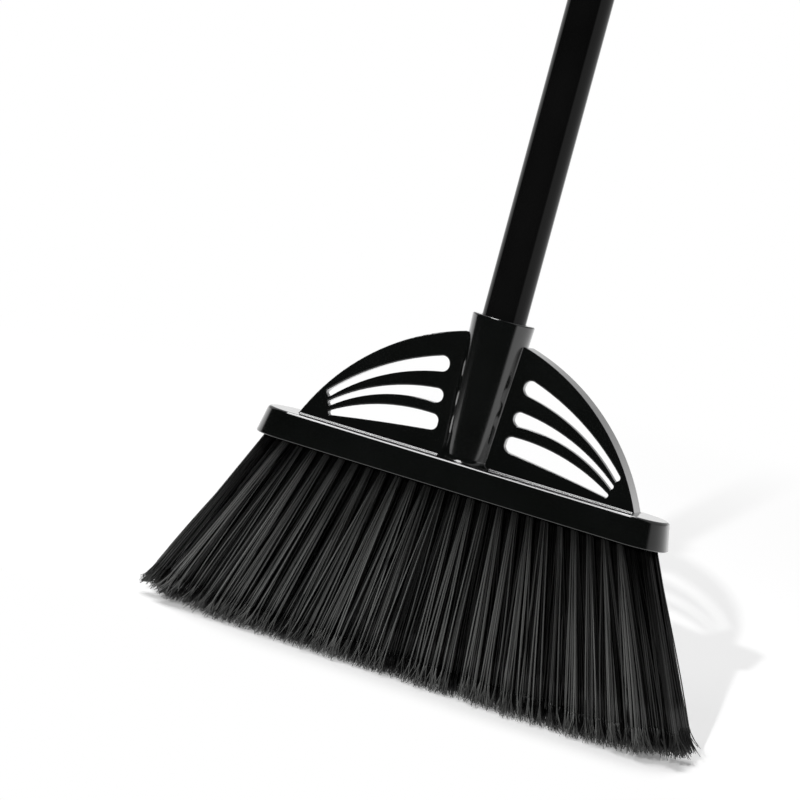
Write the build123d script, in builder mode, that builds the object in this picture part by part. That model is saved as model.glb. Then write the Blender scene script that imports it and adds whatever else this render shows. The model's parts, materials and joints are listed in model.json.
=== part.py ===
from build123d import *
import os

# Upright broom: a moulded fan-shaped head with rows of tufts, and a handle of four tubes that screw
# together. Millimetres. The origin is on the floor under the middle of the bristles, +Z runs up the
# handle, +X runs along the head and -Y is the front.

# Clearances: radial, apart from the two that say otherwise
seat_gap = 0.1           # glued, staked or pressed pieces of one section
neck_gap = 0.35          # a swaged neck in the tube above it
thread_gap = 0.5         # a plug's plain core in its nut, room for the thread's flanks
socket_gap = 0.4         # the lowest tube and its tip in the head's socket
tip_gap = 0.8            # the tip's plain core in the socket, room for its coarse thread
end_gap = 0.5            # along the handle, ahead of an end that is screwed in
row_gap = 0.2            # between the beds of neighbouring rows

# Bristles
bristle_length = 108.2   # from the lip of the block to the floor
bristle_slant = 6.0      # how much longer a bristle is than the height of its root
brush_width = 332.0      # over the tips, along the head
brush_depth = 58.0       # over the tips, front to back
tuft_pitch = 8.6
row_names = ("front_tuft_row", "front_inner_tuft_row", "middle_tuft_row", "rear_inner_tuft_row",
             "rear_tuft_row")
row_tuft_counts = (24, 27, 26, 27, 24)
strands_per_tuft = 3
strand_circle = 1.5      # radius on which a tuft's strands stand
strand_root_radius = 1.2
strand_tip_radius = 2.0
strand_sides = 3
strand_root = 0.5        # how far a strand goes up into its bed

# Head block with its drafted skirt
block_height = 15.8
lip_length = 246.0
lip_depth = 44.0
lip_corner = 20.5
skirt_draft = 12.0
top_round = 2.0
lip_round = 0.6
skirt_wall = 3.5
bed_recess = 1.0
bed_thickness = 7.0

# Flat staples that anchor the tufts in their bed
staple_width = 3.4
staple_thickness = 0.5
staple_height = 3.0

# Socket of the head
socket_height = 82.0
socket_foot_radius = 13.6
socket_rim_radius = 17.8
rim_round = 1.0
foot_flare = 3.2         # radius of the hollow flare at the socket's foot
flare_sink = 0.25        # how far the flare goes down into the block

# Arched wings of the head
wing_span = 101.0        # from the handle's axis to the tip
wing_height = 70.5
wing_top_reach = 18.0    # where the rim meets the socket, from the axis
wing_radius = 128.0
wing_front = 5.0         # from the handle's axis forward to the front of the wing
wing_width = 15.0        # of the rim, front to back
wing_web = 4.5           # thickness of the slotted web, flush with the front
rim_wall = 2.2           # of the rim where it leaves the web
rim_edge_wall = 1.0      # of the rim at its back edge
wing_root = 4.0          # how far wing and socket go down into the block
rim_edge_round = 0.5
slot_edge_round = 0.75
wing_join_round = 2.0    # between a wing and the socket
wing_foot_round = 1.0    # between a wing and the block
edge_tolerance = 0.1     # for finding edges by their place

# Curved slots of a wing, from the top one down, measured from the foot of the handle's axis: the
# round inner end and the round tip (across, up, radius), the rise of the curve and its half width
slot_inner_ends = ((27.0, 49.1, 4.7), (25.4, 31.4, 4.2), (24.4, 16.6, 4.2))
slot_tips = ((86.2, 16.0, 1.9), (84.4, 10.5, 1.4), (83.0, 5.1, 1.1))
slot_rises = (4.6, 5.0, 2.3)
slot_bellies = (2.6, 2.2, 4.8)
slot_end_rounding = 0.88  # corner radius over half width

# Handle tubes, each from its lower end to its shoulder
tube_diameter = 25.0
tube_wall = 1.0
tube_edge_round = 0.45
shoulder_depth = 1.6
neck_length = 36.5
lower_length = 265.6
lower_middle_length = 311.5
upper_middle_length = 314.6
top_length = 321.3
socket_insertion = 42.0  # how far the lowest tube goes into the head

# Threaded tip at the bottom of the handle
tip_diameter = 16.4
tip_length = 25.0
tip_chamfer = 1.5
collar_diameter = 20.8
collar_length = 10.0
tip_shank_length = 30.0

# Tapered plugs on the necks and their nuts inside the tubes
plug_base_diameter = 21.0
plug_tip_diameter = 15.8
plug_length = 20.0
plug_shank_length = 30.0
bush_length = 42.0

# Foam sleeve
foam_diameter = 35.0
foam_length = 181.0
foam_start = 12.5        # bare tube below the foam
foam_round = 2.0

# Rubber grip
grip_length = 95.0
grip_end_diameter = 28.8
grip_waist_diameter = 29.2
grip_bulge_diameter = 30.4
grip_lip_diameter = 30.8
grip_lip_height = 8.0
grip_waist_height = 30.0  # above the lower end
grip_bulge_height = 58.0
groove_width = 1.2
groove_depth = 0.5
groove_offsets = (11.0, 16.8)  # from each end of the grip

# Hang cap
cap_diameter = 30.3
cap_height = 36.5
cap_dome_radius = 13.5
cap_shank_length = 25.0
hang_hole_width = 12.0
hang_hole_height = 17.0
hang_hole_drop = 13.5    # centre of the hole below the top of the cap
hang_hole_round = 1.0

# Heights and radii that follow from these
lip_z = bristle_length
block_top = lip_z + block_height
rim_z = block_top + socket_height
bed_bottom = lip_z + bed_recess
bed_top = bed_bottom + bed_thickness
bed_length = lip_length - 2 * skirt_wall
bed_depth = lip_depth - 2 * skirt_wall
bed_corner = lip_corner - skirt_wall
row_count = len(row_names)
row_pitch = bed_depth / row_count
tube_radius = tube_diameter / 2
tube_bore = tube_radius - tube_wall
neck_radius = tube_bore - neck_gap
neck_bore = neck_radius - tube_wall
lower_z = rim_z - socket_insertion
lower_middle_z = lower_z + lower_length
upper_middle_z = lower_middle_z + lower_middle_length
top_z = upper_middle_z + upper_middle_length
cap_z = top_z + top_length
cap_top = cap_z + cap_height
grip_z = cap_z - grip_length
foam_z = upper_middle_z + foam_start


def tuft_places(row):
    """Centres of one row's tufts; every second row is set half a pitch over."""
    count = row_tuft_counts[row]
    across = (row - (row_count - 1) / 2) * row_pitch
    return [((i - (count - 1) / 2) * tuft_pitch, across) for i in range(count)]


def tuft_strands(place, facing):
    """Feet of one tuft's strands on their circle, one of them towards the outside of the brush."""
    with Locations(place):
        with PolarLocations(strand_circle, strands_per_tuft, start_angle=facing) as circle:
            return [location.position for location in circle.locations]


all_tufts = [place for row in range(row_count) for place in tuft_places(row)]
along_spread = (brush_width / 2 - strand_tip_radius) / (max(x for x, y in all_tufts) + strand_circle)
across_spread = (brush_depth / 2 - strand_tip_radius) / (max(y for x, y in all_tufts) + strand_circle)


def strand(x, y, facing):
    """One straight bristle with a flat cut tip; all are as long, so the outermost end above the floor."""
    lean = Vector(x * (along_spread - 1), y * (across_spread - 1)).length
    tip_height = max(0, bed_bottom - ((bed_bottom + bristle_slant) ** 2 - lean ** 2) ** 0.5)
    with BuildPart() as filament:
        with BuildSketch(Plane.XY.offset(bed_bottom + strand_root)):
            with Locations((x, y)):
                RegularPolygon(strand_root_radius, strand_sides, rotation=facing)
        with BuildSketch(Plane.XY.offset(tip_height)):
            with Locations((x * along_spread, y * across_spread)):
                RegularPolygon(strand_tip_radius, strand_sides, rotation=facing)
        loft(ruled=True)
    return filament.part


def turned(corners):
    """A piece turned about the handle's axis, from its (radius, height) corners."""
    with BuildPart() as piece:
        with BuildSketch(Plane.XZ):
            with BuildLine():
                Polyline(*corners, close=True)
            make_face()
        revolve(axis=Axis.Z)
    return piece.part


def finish(piece, name):
    """Name a finished piece and write it out."""
    piece.label = name
    export_step(piece, f"parts/{name}.step")


os.makedirs("parts", exist_ok=True)


# Wing: an arched plate with a hollow back, made in the plane of the handle
def wing_outline(depth):
    """Outline of a wing on a plane that lies this far in front of the handle's axis."""
    rim_start = (wing_top_reach, block_top + wing_height)
    tip = (wing_span, block_top)
    foot = block_top - wing_root
    with BuildSketch(Plane.XZ.offset(depth)) as outline:
        with BuildLine():
            RadiusArc(rim_start, tip, wing_radius)
            Polyline(tip, (wing_span, foot), (0, foot), (0, block_top + wing_height), rim_start)
        make_face()
    return outline.sketch


def slot_outline(inner_end, tip, rise, belly):
    """A curved slot that tapers from a round inner end to a small round tip."""
    start = Vector(inner_end[0], block_top + inner_end[1])
    end = Vector(tip[0], block_top + tip[1])
    middle_line = SagittaArc(start, end, rise, mode=Mode.PRIVATE)
    stations = (start - (middle_line % 0) * inner_end[2], middle_line @ 0.5, end + (middle_line % 1) * tip[2])
    sides = [(middle_line % at).rotate(Axis.Z, 90) * half
             for at, half in ((0, inner_end[2]), (0.5, belly), (1, tip[2]))]
    upper = [station + side for station, side in zip(stations, sides)]
    lower = [station - side for station, side in zip(stations, sides)]
    with BuildSketch(Plane.XZ.offset(wing_front)) as outline:
        with BuildLine():
            ThreePointArc(*upper)
            ThreePointArc(*lower)
            Line(upper[0], lower[0])
            Line(upper[2], lower[2])
        make_face()
        fillet(outline.vertices().sort_by(Axis.X)[:2], radius=inner_end[2] * slot_end_rounding)
        fillet(outline.vertices().sort_by(Axis.X)[-2:], radius=tip[2] * slot_end_rounding)
    return outline.sketch


with BuildPart() as wing:
    extrude(wing_outline(wing_front), amount=-wing_width)
    hollow_floor = offset(wing_outline(wing_front - wing_web), amount=-rim_wall, mode=Mode.PRIVATE)
    hollow_mouth = offset(wing_outline(wing_front - wing_width), amount=-rim_edge_wall, mode=Mode.PRIVATE)
    loft([hollow_floor.face(), hollow_mouth.face()], ruled=True, mode=Mode.SUBTRACT)
    for slot in zip(slot_inner_ends, slot_tips, slot_rises, slot_bellies):
        extrude(slot_outline(*slot), amount=-wing_width, mode=Mode.SUBTRACT)
    slot_rims = wing.faces().sort_by(Axis.Y)[0].inner_wires()
    fillet([edge for rim in slot_rims for edge in rim.edges()], radius=slot_edge_round)
    wing_rim = wing.faces().sort_by(Axis.Y)[0].outer_wire()
    fillet(wing_rim.edges().filter_by(GeomType.CIRCLE), radius=rim_edge_round)

# Head: drafted block, socket and both wings in one moulding
with BuildPart() as head:
    with BuildSketch(Plane.XY.offset(lip_z)):
        RectangleRounded(lip_length, lip_depth, lip_corner)
    extrude(amount=block_height, taper=skirt_draft)
    fillet(head.edges().group_by(Axis.Z)[-1], radius=top_round)
    fillet(head.edges().group_by(Axis.Z)[0], radius=lip_round)
    add(wing.part)
    mirror(wing.part, about=Plane.YZ)
    with BuildSketch(Plane.YZ) as profile:
        with BuildLine():
            flare_reach = socket_foot_radius + foot_flare + flare_sink
            flare_z = block_top - flare_sink
            Polyline((0, block_top - wing_root), (flare_reach, block_top - wing_root), (flare_reach, flare_z),
                     (socket_foot_radius, flare_z), (socket_rim_radius, rim_z), (0, rim_z), close=True)
        make_face()
        fillet(profile.vertices().sort_by_distance((socket_foot_radius, flare_z))[0], radius=foot_flare)
    revolve(axis=Axis.Z)
    fillet(head.edges().group_by(Axis.Z)[-1], radius=rim_round)
    front_plane = (Axis.Y, -wing_front - edge_tolerance, -wing_front + edge_tolerance)
    front_edges = head.edges().filter_by_position(*front_plane)
    joins = [edge for edge in front_edges if abs(edge.center().X) < socket_rim_radius]
    upright_joins = [edge for edge in joins if edge.bounding_box().size.Z > edge.bounding_box().size.X]
    fillet(upright_joins, radius=wing_join_round)
    foot_lines = head.edges().filter_by_position(*front_plane).filter_by(Axis.X).group_by(Axis.Z)[0]
    fillet(foot_lines, radius=wing_foot_round)
    with BuildSketch(Plane.XY.offset(lip_z)):
        RectangleRounded(bed_length, bed_depth, bed_corner)
    extrude(amount=bed_top - lip_z, mode=Mode.SUBTRACT)
    with BuildSketch(Plane.XZ):
        with BuildLine():
            tip_end = lower_z - collar_length - tip_length - end_gap
            collar_end = lower_z - collar_length - end_gap
            Polyline((0, tip_end), (tip_diameter / 2 + tip_gap, tip_end),
                     (tip_diameter / 2 + tip_gap, collar_end), (collar_diameter / 2 + socket_gap, collar_end),
                     (collar_diameter / 2 + socket_gap, lower_z), (tube_radius + socket_gap, lower_z),
                     (tube_radius + socket_gap, rim_z), (0, rim_z), close=True)
        make_face()
    revolve(axis=Axis.Z, mode=Mode.SUBTRACT)
finish(head.part, "head_moulding")

# Tuft rows: each row's strands stand in a slice of the block's underside
for row in range(row_count):
    row_tufts = tuft_places(row)
    facing = 90 if 2 * row >= row_count else -90
    strands = [strand(foot.X, foot.Y, facing) for place in row_tufts for foot in tuft_strands(place, facing)]
    with BuildPart() as tuft_row:
        with BuildSketch(Plane.XY.offset(bed_bottom)):
            RectangleRounded(bed_length - 2 * seat_gap, bed_depth - 2 * seat_gap, bed_corner - seat_gap)
            with Locations((0, row_tufts[0][1])):
                Rectangle(bed_length, row_pitch - row_gap, mode=Mode.INTERSECT)
        extrude(amount=bed_thickness)
        add(strands)
        with BuildSketch(Plane.XY.offset(bed_top)):
            with Locations(*row_tufts):
                Rectangle(staple_width + 2 * seat_gap, staple_thickness + 2 * seat_gap)
        extrude(amount=-staple_height, mode=Mode.SUBTRACT)
    finish(tuft_row.part, row_names[row])

# Staples: one flat anchor in each tuft's pocket
with BuildPart() as staples:
    with BuildSketch(Plane.XY.offset(bed_top)):
        with Locations(*all_tufts):
            Rectangle(staple_width, staple_thickness)
    extrude(amount=-staple_height)
finish(staples.part, "tuft_staples")


# Handle sections
def outer_rims(piece):
    """Round edges on the outside of a tube or sleeve, the lowest one first."""
    circles = piece.edges().filter_by(GeomType.CIRCLE)
    return circles.group_by(SortBy.RADIUS)[-1].sort_by(Axis.Z)


def swaged_tube(start, length, name):
    """A tube that is drawn down to a neck above its shoulder."""
    shoulder = start + length
    inner_shoulder = shoulder - shoulder_depth
    neck_end = shoulder + neck_length
    corners = ((tube_bore, start), (tube_radius, start), (tube_radius, shoulder), (neck_radius, shoulder),
               (neck_radius, neck_end), (neck_bore, neck_end), (neck_bore, inner_shoulder),
               (tube_bore, inner_shoulder))
    with BuildPart() as tube:
        add(turned(corners))
        fillet(outer_rims(tube), radius=tube_edge_round)
    finish(tube.part, name)


def tapered_plug(shoulder, name):
    """A tapered plug whose shank is staked in the neck above a shoulder."""
    base = shoulder + neck_length
    shank = neck_bore - seat_gap
    finish(turned(((0, base - plug_shank_length), (shank, base - plug_shank_length), (shank, base),
                   (plug_base_diameter / 2, base), (plug_tip_diameter / 2, base + plug_length),
                   (0, base + plug_length))), name)


def tapered_nut(start, name):
    """A bush staked inside a tube, with a bore that takes the plug from below."""
    mouth = start + neck_length + end_gap
    bore_end = start + neck_length + plug_length
    taper = (plug_base_diameter - plug_tip_diameter) / 2 / plug_length
    mouth_radius = plug_base_diameter / 2 - taper * end_gap + thread_gap
    bore_radius = plug_tip_diameter / 2 + thread_gap
    body = tube_bore - seat_gap
    finish(turned(((mouth_radius, mouth), (body, mouth), (body, mouth + bush_length),
                   (bore_radius, mouth + bush_length), (bore_radius, bore_end))), name)


swaged_tube(lower_z, lower_length, "lower_tube")
swaged_tube(lower_middle_z, lower_middle_length, "lower_middle_tube")
swaged_tube(upper_middle_z, upper_middle_length, "upper_middle_tube")
tapered_plug(lower_middle_z, "lower_plug")
tapered_plug(upper_middle_z, "lower_middle_plug")
tapered_plug(top_z, "upper_middle_plug")
tapered_nut(lower_middle_z, "lower_middle_bush")
tapered_nut(upper_middle_z, "upper_middle_bush")
tapered_nut(top_z, "top_bush")

# Threaded tip: shank in the lowest tube, collar, and the core of the coarse thread
collar_z = lower_z - collar_length
tip_z = collar_z - tip_length
tip_shank = tube_bore - seat_gap
finish(turned(((0, lower_z + tip_shank_length), (tip_shank, lower_z + tip_shank_length), (tip_shank, lower_z),
               (collar_diameter / 2, lower_z), (collar_diameter / 2, collar_z), (tip_diameter / 2, collar_z),
               (tip_diameter / 2, tip_z + tip_chamfer), (tip_diameter / 2 - tip_chamfer, tip_z), (0, tip_z))),
       "head_thread_tip")

# Top tube: plain, closed by the hang cap
with BuildPart() as top_tube:
    add(turned(((tube_bore, top_z), (tube_radius, top_z), (tube_radius, cap_z), (tube_bore, cap_z))))
    fillet(outer_rims(top_tube)[0], radius=tube_edge_round)
finish(top_tube.part, "top_tube")

# Foam sleeve on the upper middle tube
with BuildPart() as foam:
    with BuildSketch(Plane.XY.offset(foam_z)):
        Circle(foam_diameter / 2)
        Circle(tube_radius + seat_gap, mode=Mode.SUBTRACT)
    extrude(amount=foam_length)
    fillet(outer_rims(foam), radius=foam_round)
finish(foam.part, "foam_sleeve")

# Rubber grip: slight bulge and waist, flared lower lip, two ring grooves near each end
with BuildPart() as grip:
    with BuildSketch(Plane.XZ):
        with BuildLine():
            side = Spline((grip_waist_diameter / 2, grip_z + grip_lip_height),
                          (grip_waist_diameter / 2, grip_z + grip_waist_height),
                          (grip_bulge_diameter / 2, grip_z + grip_bulge_height),
                          (grip_end_diameter / 2, cap_z))
            Polyline(side @ 1, (tube_radius + seat_gap, cap_z), (tube_radius + seat_gap, grip_z),
                     (grip_lip_diameter / 2, grip_z), side @ 0)
        make_face()
    revolve(axis=Axis.Z)
    for groove_z in [grip_z + up for up in groove_offsets] + [cap_z - down for down in groove_offsets]:
        with BuildSketch(Plane.XY.offset(groove_z - groove_width / 2)):
            Circle(grip_lip_diameter / 2)
            Circle(grip_waist_diameter / 2 - groove_depth, mode=Mode.SUBTRACT)
        extrude(amount=groove_width, mode=Mode.SUBTRACT)
finish(grip.part, "rubber_grip")

# Hang cap: domed, with a shank in the top tube and an upright oblong hole
with BuildPart() as cap:
    cap_shank = tube_bore - seat_gap
    add(turned(((0, cap_z - cap_shank_length), (cap_shank, cap_z - cap_shank_length), (cap_shank, cap_z),
                (cap_diameter / 2, cap_z), (cap_diameter / 2, cap_top), (0, cap_top))))
    fillet(outer_rims(cap)[-1], radius=cap_dome_radius)
    with BuildSketch(Plane.XZ):
        with Locations((0, cap_top - hang_hole_drop)):
            SlotOverall(hang_hole_height, hang_hole_width, rotation=90)
    extrude(amount=cap_diameter, both=True, mode=Mode.SUBTRACT)
    cut_edges = cap.edges().filter_by(GeomType.CIRCLE, reverse=True).filter_by(Axis.Y, reverse=True)
    fillet([edge for edge in cut_edges if abs(edge.center().Y) > hang_hole_width / 2], radius=hang_hole_round)
finish(cap.part, "hang_cap")
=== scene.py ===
import json
import math

import bpy
import numpy as np
from mathutils import Matrix, Vector

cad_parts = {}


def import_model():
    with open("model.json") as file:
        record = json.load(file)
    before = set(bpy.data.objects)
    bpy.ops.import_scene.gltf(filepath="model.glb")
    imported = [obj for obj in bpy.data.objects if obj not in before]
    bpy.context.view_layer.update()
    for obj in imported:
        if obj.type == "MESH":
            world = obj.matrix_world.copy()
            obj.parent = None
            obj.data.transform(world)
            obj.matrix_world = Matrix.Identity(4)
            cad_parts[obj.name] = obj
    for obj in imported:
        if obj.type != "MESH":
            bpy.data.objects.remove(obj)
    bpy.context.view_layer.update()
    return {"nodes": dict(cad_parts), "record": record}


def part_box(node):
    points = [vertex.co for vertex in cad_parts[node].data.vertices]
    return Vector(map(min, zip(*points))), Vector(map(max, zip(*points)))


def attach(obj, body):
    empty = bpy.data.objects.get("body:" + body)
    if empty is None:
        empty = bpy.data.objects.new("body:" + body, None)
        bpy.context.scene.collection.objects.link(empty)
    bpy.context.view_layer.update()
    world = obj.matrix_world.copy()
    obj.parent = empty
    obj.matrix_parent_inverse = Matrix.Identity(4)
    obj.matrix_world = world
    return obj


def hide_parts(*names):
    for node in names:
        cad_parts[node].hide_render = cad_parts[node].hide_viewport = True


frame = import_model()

# Upright broom with a sectional handle, dressed for its picture. Metres, in the frame of the solids: the
# origin is on the floor under the handle's axis, +Z runs up the handle, +X along the head, -Y is the front.

MM = 0.001
SEED = 20
SEAT_GAP = 0.1           # between a piece and what it sits in, in millimetres

# Tufts and the bed that they stand in, in millimetres, as the solids have them
ROWS = ("front_tuft_row", "front_inner_tuft_row", "middle_tuft_row", "rear_inner_tuft_row", "rear_tuft_row")
TUFTS_IN_ROW = (24, 27, 26, 27, 24)
TUFT_PITCH = 8.6
ROW_PITCH = 7.4
ALONG_SPREAD = 1.4475    # how much longer the brush is at its tips than at its roots
ACROSS_SPREAD = 1.656    # how much deeper it is there
BED_BOTTOM = 109.2
BED_THICKNESS = 7.0
BED_LENGTH = 239.0
BED_DEPTH = 37.0
BED_CORNER = 17.0
CORNER_POINTS = 9

# Bristles, in millimetres, with five values where the rows differ
FILAMENTS_PER_TUFT = (26, 32, 50, 32, 26)
END_FILAMENTS = 58       # in the last tuft at each end of a row
FILAMENT_LENGTH = 115.2
FILAMENT_RADII = (0.44, 0.44, 0.42, 0.44, 0.44)
RADIUS_RANGE = (0.8, 1.2)                   # how filaments differ from that radius
ROOT_DEPTH = 1.0         # how far a filament is sunk in the bed
ROOT_SPREADS = (1.8, 2.9, 5.2, 2.9, 1.8)    # radius of a tuft where it leaves the block
TIP_SPREADS = (6.0, 6.4, 7.6, 6.4, 6.0)     # radius of a tuft at the floor
TIP_LIMITS = (162.5, 36.0)                  # how far out a filament may end, along and across
TUFT_WANDER = 0.4        # how far a whole tuft strays from its place
FILAMENT_WANDER = 2.1    # how far a filament strays from its place in the tuft
TUFT_BOW = 0.4           # how far a whole tuft bows out of straight
BOW = 1.1                # how far a filament bows out of its tuft
CUT_SCATTER = 0.8        # unevenness of the trimmed tips
FLOOR_GAP = 0.02         # least height over the floor
STEM_RINGS = 8
TUBE_SIDES = 4

# Hairs that a filament splits into at its tip, in millimetres
SPLITS = (4, 3, 2, 3, 4)
SPLIT_SHARE = 0.8        # share of the filaments that have each hair after the first
SPLIT_LENGTH = 14.0
SPLIT_OVERLAP = 0.01     # share of a filament by which its hairs reach back into it
SPLIT_SPREAD = 2.1       # how far a hair strays aside
SPLIT_RISE = 3.0         # how much higher than its filament a hair may end
OPENING = (0.0, 0.15, 0.5, 1.0)             # share of its straying that a hair has at each ring
TAPER = (0.62, 0.6, 0.52, 0.3)              # share of the filament's radius that it has there

# Tones of the bristles, from 0 for the darkest to 1 for the lightest; besides their own differences they
# carry painted highlights and painted shade
PAINTED_SHADE_SHARE = 0.64        # painted shade: share of the filaments painted dark, as if they catch little light
# Painted shade and painted highlights: dark filaments stand in for ones in shade, lit ones for ones that
# catch a highlight
PAINTED_SHADE_TONES = (0.0, 0.01)
PAINTED_HIGHLIGHT_TONES = (0.15, 0.9)
TUFT_TONES = (0.88, 1.08)                   # how whole tufts differ
ROW_PAINTED_SHADE = (1.0, 0.45, 0.15, 0.45, 1.0)    # painted shade deep in the brush: share of their tone that the filaments of a row keep
ROOT_PAINTED_SHADE = (0.042, 0.002, 0.001, 0.002, 0.042)    # painted shade under the block: tone where the filaments leave the block
ROOT_SHADE_FADE_POWERS = (0.9, 1.7, 1.7, 1.7, 0.9)     # how far down the painted shade under the block reaches before the filaments gain their own tone
SHADE_START = 0.6        # share of a stem after which the tone falls off towards the tip
TIP_SHADE = 0.62         # share of its tone that a filament keeps at its tip

# Screw thread at the foot of the handle, in millimetres
TIP_PITCH = 5.08
TIP_THREAD = 1.6         # height of the crests over the roots
TIP_CREST = 8.6          # radius over the crests
TIP_FADE = 0.6           # share of a turn over which the thread starts and ends
TIP_END = 6.0            # radius of the flat end
TIP_COLLAR = 10.4
TIP_COLLAR_HEIGHT = 10.0
TIP_SOFT = 0.6           # softness of the collar's edges
TIP_SHANK = 11.35

# Screw plugs between the tubes, in millimetres
PLUG_PITCH = 2.9
PLUG_THREAD = 1.0
PLUG_CRESTS = (10.75, 8.35)                 # radius over the crests at the collar and at the end
PLUG_FADE = 0.5
PLUG_LENGTH = 20.0       # how far a plug stands out of its tube
PLUG_END = 6.6
PLUG_COLLAR = 10.7
PLUG_COLLAR_HEIGHT = 2.2
PLUG_SOFT = 0.5
PLUG_SHANK = 10.05

# Turned pieces
TURNED_SEGMENTS = 72
THREAD_RINGS = 14        # rings in each turn of a thread
RING_STEP = 0.2          # rise from one form to the next, in millimetres
SOFT_CUT = 0.3           # share of a softened edge that its middle ring is cut back by

# Foam sleeve, in millimetres
FOAM_SOFT = 2.6          # radius of its rounded ends
FOAM_SEGMENTS = 96
FOAM_RINGS = 61
FOAM_ARC_POINTS = 7
FOAM_DENT = 0.12
DENT_WAVES = ((3, 70, 0.0), (5, -113, 1.3))     # waves round the sleeve, radians a metre along it, shift

# Finishes
NOISE_RANGE = (0.3, 0.7)                    # where most values of a noise lie
TONE_DETAIL = 2.0
RELIEF_DETAIL = 3.0

# Floor, in metres: its edges, and the stretches where it goes over into plain white
FLOOR_SIDE = 1.0
FLOOR_FRONT = -0.36
FLOOR_BACK = 3.0
FLOOR_TONE = 0.9
WHITE_SHARE = (0.2, 1.0)
FAR_STRETCH = (0.6, 2.9)                    # out from the handle's axis
FRONT_STRETCH = (-0.036, -0.08)             # forward of the bristles
BESIDE_STRETCH = (0.45, 0.95)               # to either side

# Studio round the broom, as shares of white, and the directions where one goes over into the other
AMBIENT = 0.18           # what matte surfaces get from all round
DIM_ROOM = 0.012         # what mirrors see in front of the broom
HIGH_UP = 0.4            # share of the white behind it that mirrors see high up
BEHIND_STRETCH = (-0.2, 0.0)
RISE_STRETCH = (0.05, 0.3)
TURNED_ASIDE = 0.28      # how far the white behind is turned towards +X

# Camera
SENSOR_WIDTH = 36.0      # in millimetres
FAR_CLIP = 200.0         # in metres


def new_object(name, data):
    """A new object in the scene."""
    thing = bpy.data.objects.new(name, data)
    bpy.context.scene.collection.objects.link(thing)
    return thing


def mesh_object(name, points, faces, smooth=True):
    """A new mesh object from points in metres and faces."""
    mesh = bpy.data.meshes.new(name)
    mesh.from_pydata([tuple(p) for p in points], [], [tuple(f) for f in faces])
    mesh.polygons.foreach_set("use_smooth", [smooth] * len(mesh.polygons))
    mesh.update()
    return new_object(name, mesh)


def wall_faces(rings, segments, closed=False):
    """Faces between rings of points; a closed wall joins its last ring to its first."""
    faces = []
    for ring in range(rings if closed else rings - 1):
        here = ring * segments
        following = (ring + 1) % rings * segments
        for s in range(segments):
            t = (s + 1) % segments
            faces.append((here + s, here + t, following + t, following + s))
    return faces


def dress(piece, body, material, slot, *nodes):
    """Put a piece on its body, in its finish, in place of the solids that it stands for."""
    piece.data.materials.append(material)
    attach(piece, body)
    if nodes:
        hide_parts(*nodes)


# Building blocks of the materials
def new_material(name):
    """A material with its nodes and links, and its shader."""
    material = bpy.data.materials.new(name)
    material.use_nodes = True
    tree = material.node_tree
    return material, tree.nodes, tree.links, tree.nodes["Principled BSDF"]


def surface_noise(nodes, links, scale, detail=TONE_DETAIL):
    """Noise that lies still on the object, at this many cells a metre."""
    place = nodes.new("ShaderNodeTexCoord")
    noise = nodes.new("ShaderNodeTexNoise")
    noise.inputs["Scale"].default_value = scale
    noise.inputs["Detail"].default_value = detail
    links.new(place.outputs["Object"], noise.inputs["Vector"])
    return noise.outputs["Fac"]


def map_range(nodes, links, value, source, target, shape="LINEAR"):
    """Map a value from one range to another, and hold it at both ends."""
    ramp = nodes.new("ShaderNodeMapRange")
    ramp.interpolation_type = shape
    for socket, limit in zip(("From Min", "From Max", "To Min", "To Max"), (*source, *target)):
        ramp.inputs[socket].default_value = limit
    links.new(value, ramp.inputs["Value"])
    return ramp.outputs["Result"]


def two_tones(nodes, links, value, dark, light):
    """Mix two colours by a value between 0 and 1."""
    mix = nodes.new("ShaderNodeMix")
    mix.data_type = "RGBA"
    links.new(value, mix.inputs["Factor"])
    mix.inputs["A"].default_value = (*dark, 1)
    mix.inputs["B"].default_value = (*light, 1)
    return mix.outputs["Result"]


def bump(nodes, links, shader, height, distance):
    """Raise the surface by a height map, by this distance in metres."""
    lift = nodes.new("ShaderNodeBump")
    lift.inputs["Distance"].default_value = distance
    links.new(height, lift.inputs["Height"])
    links.new(lift.outputs["Normal"], shader.inputs["Normal"])


def combine(nodes, links, operation, first, second):
    """One sum of two values, each a number or an output of another node."""
    step = nodes.new("ShaderNodeMath")
    step.operation = operation
    for socket, value in zip(step.inputs, (first, second)):
        if isinstance(value, (int, float)):
            socket.default_value = value
        else:
            links.new(value, socket)
    return step.outputs["Value"]


def largest(nodes, links, first, *others):
    """The largest of several values."""
    for other in others:
        first = combine(nodes, links, "MAXIMUM", first, other)
    return first


# Materials
def finish_material(name, dark, light, tone_scale, rough, relief_scale, relief, plain=()):
    """A solid finish: two close tones, uneven gloss, a fine relief and plain values of the shader."""
    material, nodes, links, shader = new_material(name)
    tone = surface_noise(nodes, links, tone_scale)
    blend = map_range(nodes, links, tone, NOISE_RANGE, (0.0, 1.0))
    links.new(two_tones(nodes, links, blend, dark, light), shader.inputs["Base Color"])
    links.new(map_range(nodes, links, tone, NOISE_RANGE, rough), shader.inputs["Roughness"])
    bump(nodes, links, shader, surface_noise(nodes, links, relief_scale, RELIEF_DETAIL), relief)
    for socket, value in plain:
        shader.inputs[socket].default_value = value
    return material


def filament_material(name, dark, light, grain_scale, rough):
    """Plastic filament in the tone that each point carries: its own, with painted highlights and painted
    shade, and a satin shine.
    """
    material, nodes, links, shader = new_material(name)
    tone = nodes.new("ShaderNodeAttribute")
    tone.attribute_name = "tone"
    links.new(two_tones(nodes, links, tone.outputs["Fac"], dark, light), shader.inputs["Base Color"])
    grain = surface_noise(nodes, links, grain_scale)
    links.new(map_range(nodes, links, grain, NOISE_RANGE, rough), shader.inputs["Roughness"])
    return material


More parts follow.
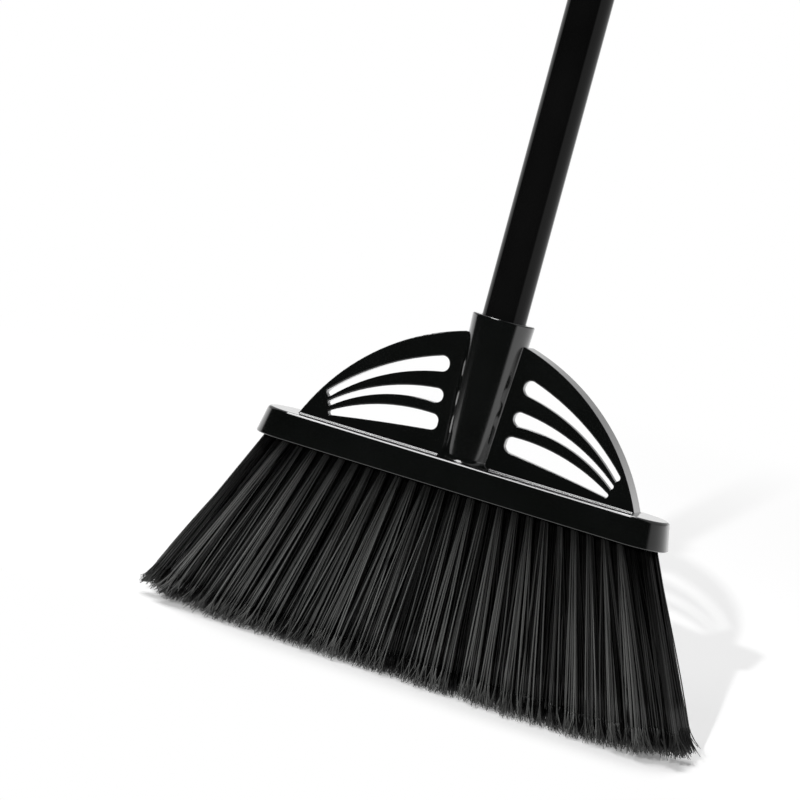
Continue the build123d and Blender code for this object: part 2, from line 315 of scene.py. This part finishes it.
head_black = finish_material(
    "gloss_black_plastic", dark=(0.0018, 0.0021, 0.0019), light=(0.0028, 0.0032, 0.0030),
    tone_scale=30.0, rough=(0.10, 0.15), relief_scale=700.0, relief=0.000002,
    plain=(("Coat Weight", 1.0), ("Coat Roughness", 0.12)))
tube_black = finish_material(
    "gloss_black_enamel", dark=(0.0022, 0.0022, 0.0022), light=(0.0034, 0.0034, 0.0034),
    tone_scale=18.0, rough=(0.04, 0.08), relief_scale=500.0, relief=0.000003,
    plain=(("Specular IOR Level", 0.15),))
thread_black = finish_material(
    "satin_black_plastic", dark=(0.010, 0.010, 0.010), light=(0.018, 0.018, 0.018),
    tone_scale=60.0, rough=(0.38, 0.50), relief_scale=3000.0, relief=0.000008)
grip_black = finish_material(
    "black_rubber", dark=(0.026, 0.026, 0.026), light=(0.038, 0.038, 0.038),
    tone_scale=50.0, rough=(0.62, 0.78), relief_scale=5200.0, relief=0.00002,
    plain=(("Specular IOR Level", 0.3),))
foam_black = finish_material(
    "charcoal_foam", dark=(0.022, 0.022, 0.022), light=(0.034, 0.034, 0.034),
    tone_scale=70.0, rough=(0.85, 0.95), relief_scale=1500.0, relief=0.00022,
    plain=(("Specular IOR Level", 0.2),))
cap_yellow = finish_material(
    "yellow_plastic", dark=(0.93, 0.46, 0.008), light=(0.97, 0.53, 0.012),
    tone_scale=40.0, rough=(0.30, 0.40), relief_scale=2400.0, relief=0.000008)
staple_steel = finish_material(
    "staple_wire", dark=(0.50, 0.50, 0.51), light=(0.60, 0.60, 0.61),
    tone_scale=400.0, rough=(0.25, 0.40), relief_scale=4000.0, relief=0.00001,
    plain=(("Metallic", 1.0),))
# The light end of this range stands for painted highlights, the dark end for painted shade
bristle_black = filament_material(
    "black_bristle", dark=(0.0008, 0.0008, 0.0008), light=(0.132, 0.134, 0.130),
    grain_scale=900.0, rough=(0.30, 0.42))

FINISHES = {"head_plastic": head_black, "tube_enamel": tube_black, "thread_plastic": thread_black,
            "grip_rubber": grip_black, "cap_plastic": cap_yellow, "staple_steel": staple_steel}

for subpart in frame["record"]["subparts"]:
    finish = FINISHES.get(subpart["material_slot"])
    solid = frame["nodes"][subpart["node"]]
    if finish:
        solid.data.materials.clear()
        solid.data.materials.append(finish)


# Bristles
def tubes(paths, radii):
    """Points and faces of closed square tubes, from the centres of each tube's rings and their radii."""
    count, rings, _ = paths.shape
    along = paths[:, -1] - paths[:, 0]
    along /= np.linalg.norm(along, axis=1, keepdims=True)
    side = np.cross(along, [0.0, 1.0, 0.0])
    side /= np.linalg.norm(side, axis=1, keepdims=True)
    other = np.cross(along, side)
    corners = (side, other, -side, -other)
    points = [paths + radii[..., None] * corner[:, None] for corner in corners]
    points = np.stack(points, axis=2).reshape(-1, 3)
    start = (np.arange(count) * rings * TUBE_SIDES)[:, None, None]
    low = start + (np.arange(rings - 1) * TUBE_SIDES)[None, :, None]
    high = low + TUBE_SIDES
    here = np.arange(TUBE_SIDES)
    following = (here + 1) % TUBE_SIDES
    walls = [low + here, low + following, high + following, high + here]
    walls = np.stack(walls, axis=-1).reshape(-1, 4)
    first = start[:, 0] + here[::-1]
    last = start[:, 0] + (rings - 1) * TUBE_SIDES + here
    return points, np.concatenate([walls, first, last])


def disc(rng, count):
    """Points spread evenly over a disc of radius 1."""
    radius = np.sqrt(rng.random(count))
    angle = rng.random(count) * 2 * math.pi
    return np.column_stack([radius * np.cos(angle), radius * np.sin(angle)])


def row_of_filaments(row, rng):
    """The filaments of one row, in millimetres: roots, tips, bows, radii, and the tone of each with its
    painted highlight or painted shade.
    """
    tufts = TUFTS_IN_ROW[row]
    filaments = np.full(tufts, FILAMENTS_PER_TUFT[row])
    filaments[[0, -1]] = END_FILAMENTS
    count = filaments.sum()
    tuft = np.repeat(np.arange(tufts), filaments)
    rows_out = row - (len(ROWS) - 1) / 2
    centre = np.column_stack([(tuft - (tufts - 1) / 2) * TUFT_PITCH, np.full(count, rows_out * ROW_PITCH)])
    # Painted shade: these filaments are painted dark, as if they catch little light; the rest get painted
    # highlights
    dark = rng.random(count) < PAINTED_SHADE_SHARE
    spot = disc(rng, count)
    if rows_out:
        # Painted light: the filaments painted lit are on the outer side of their tufts, those painted in
        # shade on the inner side
        outward = np.sign(rows_out)
        spot[:, 1] = np.where(dark, -outward, outward) * np.abs(spot[:, 1])
    roots = centre + spot * ROOT_SPREADS[row]
    strays = rng.normal(0, TUFT_WANDER, (tufts, 2))[tuft] + rng.normal(0, FILAMENT_WANDER, (count, 2))
    tips = centre * (ALONG_SPREAD, ACROSS_SPREAD) + spot * TIP_SPREADS[row] + strays
    tips = np.clip(tips, np.negative(TIP_LIMITS), TIP_LIMITS)
    lean = np.linalg.norm(tips - roots, axis=1)
    height = BED_BOTTOM - np.sqrt(FILAMENT_LENGTH ** 2 - lean ** 2)
    height = np.maximum(height, 0.0) + np.abs(rng.normal(0, CUT_SCATTER, count))
    bows = rng.normal(0, TUFT_BOW, (tufts, 2))[tuft] + rng.normal(0, BOW, (count, 2))
    radii = rng.uniform(*RADIUS_RANGE, count) * FILAMENT_RADII[row]
    # Painted highlight tones on the lit filaments, painted shade tones on the dark ones
    tones = np.where(dark, rng.uniform(*PAINTED_SHADE_TONES, count), rng.uniform(*PAINTED_HIGHLIGHT_TONES, count))
    # Painted shade deep in the brush: inner rows keep only part of their tone
    tones *= rng.uniform(*TUFT_TONES, tufts)[tuft] * ROW_PAINTED_SHADE[row]
    roots = np.column_stack([roots, np.full(count, BED_BOTTOM + ROOT_DEPTH)])
    return roots, np.column_stack([tips, height]), bows, radii, np.clip(tones, 0, 1)


def bent(roots, tips, bows, shares):
    """Points on the bowed lines from roots to tips, at these shares of their length."""
    share = np.asarray(shares)[None, :, None]
    line = roots[:, None] + (tips - roots)[:, None] * share
    line[..., :2] += bows[:, None] * np.sin(np.pi * share) * share
    return line


def stem_shades(row, tones):
    """The tone at each ring of the stems: painted shade at the root under the block, the filament's own,
    then darker to the tip.
    """
    along = np.linspace(0.0, 1.0, STEM_RINGS)
    fade = along ** ROOT_SHADE_FADE_POWERS[row]
    # Painted shade under the block, fading out down the stem
    shades = ROOT_PAINTED_SHADE[row] * (1 - fade) + tones[:, None] * fade
    return shades * np.interp(along, (SHADE_START, 1.0), (1.0, TIP_SHADE))


def brush_row(row):
    """One row of tufts as a mesh of filaments that split at their tips."""
    rng = np.random.default_rng(SEED + row)
    roots, tips, bows, radii, tones = row_of_filaments(row, rng)
    split_at = 1 - SPLIT_LENGTH / FILAMENT_LENGTH
    stems = bent(roots, tips, bows, np.linspace(0, split_at, STEM_RINGS))
    points, faces = tubes(stems, np.repeat(radii[:, None], STEM_RINGS, axis=1))
    shades = np.repeat(stem_shades(row, tones).ravel(), TUBE_SIDES)
    opening = np.array(OPENING)
    hair_rings = len(opening)
    for split in range(SPLITS[row]):
        kept = rng.random(len(roots)) < (SPLIT_SHARE if split else 1.0)
        hairs = bent(roots, tips, bows, np.linspace(split_at - SPLIT_OVERLAP, 1.0, hair_rings))[kept]
        aside = rng.normal(0, SPLIT_SPREAD, (len(hairs), 2))
        hairs[..., :2] += aside[:, None] * opening[None, :, None]
        hairs[..., 2] += rng.uniform(0, SPLIT_RISE, len(hairs))[:, None] * opening
        more, ends = tubes(hairs, radii[kept][:, None] * TAPER)
        faces = np.concatenate([faces, ends + len(points)])
        points = np.concatenate([points, more])
        shades = np.concatenate([shades, np.repeat(tones[kept] * TIP_SHADE, hair_rings * TUBE_SIDES)])
    points[:, 2] = np.maximum(points[:, 2], FLOOR_GAP)
    piece = mesh_object(ROWS[row].replace("_row", "s"), points * MM, faces)
    # The tone carries each filament's own tone with its painted highlight or painted shade
    tone = piece.data.attributes.new("tone", "FLOAT", "POINT")
    tone.data.foreach_set("value", shades.astype(np.float32))
    return piece


for row, name in enumerate(ROWS):
    dress(brush_row(row), "head", bristle_black, "bristle", name)


# Underside of the block, which the tufts stand in
def rounded_plate(name, length, depth, corner, low, high):
    """A flat plate with rounded corners, in metres."""
    outline = []
    for across, along, turn in ((1, 1, 0.0), (-1, 1, 0.5), (-1, -1, 1.0), (1, -1, 1.5)):
        x = across * (length / 2 - corner)
        y = along * (depth / 2 - corner)
        for angle in np.linspace(turn * math.pi, (turn + 0.5) * math.pi, CORNER_POINTS):
            outline.append((x + corner * math.cos(angle), y + corner * math.sin(angle)))
    count = len(outline)
    points = [(x, y, z) for z in (low, high) for x, y in outline]
    faces = wall_faces(2, count)
    faces += [tuple(reversed(range(count))), tuple(range(count, 2 * count))]
    return mesh_object(name, points, faces, smooth=False)


bed = rounded_plate(
    "tuft_bed",
    length=(BED_LENGTH - 2 * SEAT_GAP) * MM,
    depth=(BED_DEPTH - 2 * SEAT_GAP) * MM,
    corner=(BED_CORNER - SEAT_GAP) * MM,
    low=BED_BOTTOM * MM,
    high=(BED_BOTTOM + BED_THICKNESS - SEAT_GAP) * MM)
dress(bed, "head", head_black, "head_plastic")


# Turned pieces with real threads
def turned(name, rings):
    """A closed turned piece from rings: a radius, or a radius for each angle, and a height, in metres."""
    segments = TURNED_SEGMENTS
    angles = [2 * math.pi * s / segments for s in range(segments)]
    points = []
    for radius, height in rings:
        for angle in angles:
            reach = radius(angle) if callable(radius) else radius
            points.append((reach * math.cos(angle), reach * math.sin(angle), height))
    faces = wall_faces(len(rings), segments)
    faces.append(tuple(reversed(range(segments))))
    faces.append(tuple(range((len(rings) - 1) * segments, len(rings) * segments)))
    return mesh_object(name, points, faces)


def thread_rings(start, end, crests, pitch, height, fade):
    """Rings of a right-hand thread between two heights; it fades in and out over this share of a turn."""
    steps = int((end - start) / pitch * THREAD_RINGS)
    rings = []
    for step in range(steps + 1):
        share = step / steps
        z = start + (end - start) * share
        crest = crests[0] + (crests[1] - crests[0]) * share
        full = max(0.0, min(1.0, (z - start) / (pitch * fade), (end - z) / (pitch * fade)))

        def radius(angle, z=z, crest=crest, full=full):
            turn = (z / pitch - angle / (2 * math.pi)) % 1.0
            wave = 0.5 + 0.5 * math.cos(2 * math.pi * turn)
            flank = wave * wave * (3 - 2 * wave)
            return crest - height * (1 - flank * full)

        rings.append((radius, z))
    return rings


def collar_rings(radius, low, high, soft):
    """Rings of a short cylinder with softened edges."""
    cut = soft * SOFT_CUT
    return [(radius - soft, low), (radius - cut, low + cut), (radius, low + soft),
            (radius, high - soft), (radius - cut, high - cut), (radius - soft, high)]


def thread_tip():
    """The coarse broom thread with its collar and the shank in the lowest tube."""
    low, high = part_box("head_thread_tip")
    tube_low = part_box("lower_tube")[0].z
    collar_low = tube_low - TIP_COLLAR_HEIGHT * MM
    gap = SEAT_GAP * MM
    step = RING_STEP * MM
    rings = [(TIP_END * MM, low.z)]
    rings += thread_rings(low.z + step, collar_low, (TIP_CREST * MM, TIP_CREST * MM),
                          TIP_PITCH * MM, TIP_THREAD * MM, TIP_FADE)
    rings += collar_rings(TIP_COLLAR * MM, collar_low + gap, tube_low - gap, TIP_SOFT * MM)
    rings += [(TIP_SHANK * MM, tube_low + step), (TIP_SHANK * MM, high.z)]
    return turned("coarse_thread_tip", rings)


def thread_plug(node):
    """A tapered plug with its fine thread and the shank in the neck."""
    low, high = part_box(node)
    base = high.z - PLUG_LENGTH * MM
    collar_high = base + PLUG_COLLAR_HEIGHT * MM
    step = RING_STEP * MM
    rings = [(PLUG_SHANK * MM, low.z), (PLUG_SHANK * MM, base - step)]
    rings += collar_rings(PLUG_COLLAR * MM, base, collar_high, PLUG_SOFT * MM)
    rings += thread_rings(collar_high + step, high.z - 2 * step, [crest * MM for crest in PLUG_CRESTS],
                          PLUG_PITCH * MM, PLUG_THREAD * MM, PLUG_FADE)
    rings += [(PLUG_END * MM, high.z)]
    return turned(node.replace("plug", "threaded_plug"), rings)


dress(thread_tip(), "lower_section", thread_black, "thread_plastic", "head_thread_tip")
for node, body in (("lower_plug", "lower_section"), ("lower_middle_plug", "lower_middle_section"),
                   ("upper_middle_plug", "upper_middle_section")):
    dress(thread_plug(node), body, thread_black, "thread_plastic", node)


# Foam sleeve: a skin that gives a little, rounded at both ends
def foam_sleeve():
    """The foam sleeve as a closed ring, with the slow dents of a soft tube."""
    low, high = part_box("foam_sleeve")
    outer = high.x
    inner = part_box("upper_middle_tube")[1].x + SEAT_GAP * MM
    soft = FOAM_SOFT * MM
    heights = np.linspace(low.z + soft, high.z - soft, FOAM_RINGS)
    turns = np.linspace(0, math.pi / 2, FOAM_ARC_POINTS)
    corner = [(outer - soft * (1 - math.sin(a)), soft * (1 - math.cos(a))) for a in turns]
    profile = [(inner, low.z)]
    profile += [(reach, low.z + up) for reach, up in corner]
    profile += [(outer, z) for z in heights[1:-1]]
    profile += [(reach, high.z - down) for reach, down in reversed(corner)]
    profile += [(inner, high.z)]
    points = []
    for reach, z in profile:
        for s in range(FOAM_SEGMENTS):
            a = 2 * math.pi * s / FOAM_SEGMENTS
            waves = sum(math.sin(around * a + along * z + shift) for around, along, shift in DENT_WAVES)
            dent = FOAM_DENT * MM * (waves - len(DENT_WAVES))
            radius = reach + dent * (reach - inner) / (outer - inner)
            points.append((radius * math.cos(a), radius * math.sin(a), z))
    return mesh_object("foam_grip", points, wall_faces(len(profile), FOAM_SEGMENTS, closed=True))


foam = foam_sleeve()
dress(foam, "upper_middle_section", foam_black, "foam", "foam_sleeve")


# Floor, world, lamps and camera
def floor():
    """A pale sheet that takes the shadow near the broom and goes over into plain white farther out."""
    material, nodes, links, shader = new_material("pale_floor")
    nodes.remove(shader)
    matte = nodes.new("ShaderNodeBsdfDiffuse")
    matte.inputs["Color"].default_value = (FLOOR_TONE, FLOOR_TONE, FLOOR_TONE, 1)
    white = nodes.new("ShaderNodeEmission")
    place = nodes.new("ShaderNodeTexCoord")
    distance = nodes.new("ShaderNodeVectorMath")
    distance.operation = "LENGTH"
    links.new(place.outputs["Object"], distance.inputs[0])
    split = nodes.new("ShaderNodeSeparateXYZ")
    links.new(place.outputs["Object"], split.inputs["Vector"])
    aside = combine(nodes, links, "ABSOLUTE", split.outputs["X"], 0.0)
    far = map_range(nodes, links, distance.outputs["Value"], FAR_STRETCH, WHITE_SHARE, "SMOOTHSTEP")
    front = map_range(nodes, links, split.outputs["Y"], FRONT_STRETCH, WHITE_SHARE, "SMOOTHSTEP")
    beside = map_range(nodes, links, aside, BESIDE_STRETCH, WHITE_SHARE, "SMOOTHSTEP")
    share = largest(nodes, links, far, front, beside)
    ray = nodes.new("ShaderNodeLightPath").outputs
    seen = largest(nodes, links, ray["Is Camera Ray"], ray["Is Glossy Ray"], ray["Is Transmission Ray"])
    mix = nodes.new("ShaderNodeMixShader")
    links.new(combine(nodes, links, "MULTIPLY", seen, share), mix.inputs["Fac"])
    links.new(matte.outputs["BSDF"], mix.inputs[1])
    links.new(white.outputs["Emission"], mix.inputs[2])
    links.new(mix.outputs["Shader"], nodes["Material Output"].inputs["Surface"])
    corners = [(-FLOOR_SIDE, FLOOR_FRONT, 0), (FLOOR_SIDE, FLOOR_FRONT, 0),
               (FLOOR_SIDE, FLOOR_BACK, 0), (-FLOOR_SIDE, FLOOR_BACK, 0)]
    sheet = mesh_object("floor", corners, [(0, 1, 2, 3)], smooth=False)
    sheet.data.materials.append(material)


def world():
    """The camera sees white all round; mirrors see it low behind the broom, and a dim room elsewhere."""
    sky = bpy.data.worlds.new("studio")
    bpy.context.scene.world = sky
    sky.use_nodes = True
    nodes = sky.node_tree.nodes
    links = sky.node_tree.links
    place = nodes.new("ShaderNodeTexCoord")
    split = nodes.new("ShaderNodeSeparateXYZ")
    links.new(place.outputs["Generated"], split.inputs["Vector"])
    aside = combine(nodes, links, "MULTIPLY", split.outputs["X"], TURNED_ASIDE)
    depth = combine(nodes, links, "ADD", split.outputs["Y"], aside)
    behind = map_range(nodes, links, depth, BEHIND_STRETCH, (DIM_ROOM, 1.0), "SMOOTHSTEP")
    low = map_range(nodes, links, split.outputs["Z"], RISE_STRETCH, (1.0, HIGH_UP), "SMOOTHSTEP")
    behind = combine(nodes, links, "MULTIPLY", behind, low)
    ray = nodes.new("ShaderNodeLightPath").outputs
    mirrored = combine(nodes, links, "MULTIPLY", ray["Is Glossy Ray"], behind)
    unmirrored = combine(nodes, links, "SUBTRACT", 1.0, ray["Is Glossy Ray"])
    ambient = combine(nodes, links, "MULTIPLY", unmirrored, AMBIENT)
    light = largest(nodes, links, ray["Is Camera Ray"], ray["Is Transmission Ray"], mirrored, ambient)
    background = nodes["Background"]
    background.inputs["Color"].default_value = (1, 1, 1, 1)
    links.new(light, background.inputs["Strength"])


def aimed_object(name, data, place, right, up, back):
    """A new object at a place, with its own X, Y and Z along these directions."""
    thing = new_object(name, data)
    turn = Matrix((right, up, back)).transposed().to_4x4()
    thing.matrix_world = Matrix.Translation(Vector(place)) @ turn
    return thing


def lamp(name, place, target, size, power):
    """A soft area lamp at a place, facing a target, with its long side to and fro."""
    data = bpy.data.lights.new(name, "AREA")
    data.shape = "RECTANGLE"
    data.size, data.size_y = size
    data.energy = power
    back = (Vector(place) - Vector(target)).normalized()
    side = Vector((0, 1, 0)).cross(back).normalized()
    thing = aimed_object(name, data, place, side, back.cross(side), back)
    thing.visible_camera = False
    return thing


def even_reach(thing):
    """Let a lamp light near and far things alike."""
    thing.data.use_nodes = True
    nodes = thing.data.node_tree.nodes
    links = thing.data.node_tree.links
    falloff = nodes.new("ShaderNodeLightFalloff")
    falloff.inputs["Strength"].default_value = 1.0
    links.new(falloff.outputs["Constant"], nodes["Emission"].inputs["Strength"])


def camera(azimuth, elevation, roll, place, lens):
    """The camera at the photograph's angle: it leans by the roll, so the broom's top leans to the right."""
    az, el, lean = (math.radians(a) for a in (azimuth, elevation, roll))
    forward = Vector((-math.sin(az) * math.cos(el), math.cos(az) * math.cos(el), -math.sin(el)))
    level = Vector((math.cos(az), math.sin(az), 0))
    down = forward.cross(level)
    right = level * math.cos(lean) - down * math.sin(lean)
    up = -(level * math.sin(lean) + down * math.cos(lean))
    data = bpy.data.cameras.new("camera")
    data.lens = lens
    data.sensor_width = SENSOR_WIDTH
    data.clip_end = FAR_CLIP
    bpy.context.scene.camera = aimed_object("camera", data, place, right, up, -forward)


floor()
world()
key = lamp("key", place=(0.164, -1.565, 0.503), target=(0, 0, 0.15), size=(0.022, 0.022), power=10.5)
key.visible_glossy = False
even_reach(key)
lamp("overhead", place=(-1.65, 0.6, 5.6), target=(-1.65, 0.6, 0), size=(1.6, 8.4), power=350.0)
camera(azimuth=18.16, elevation=4.5, roll=15.05, place=(0.4243, -1.4349, 0.2656), lens=121.82)
bpy.context.scene.view_settings.view_transform = "Standard"
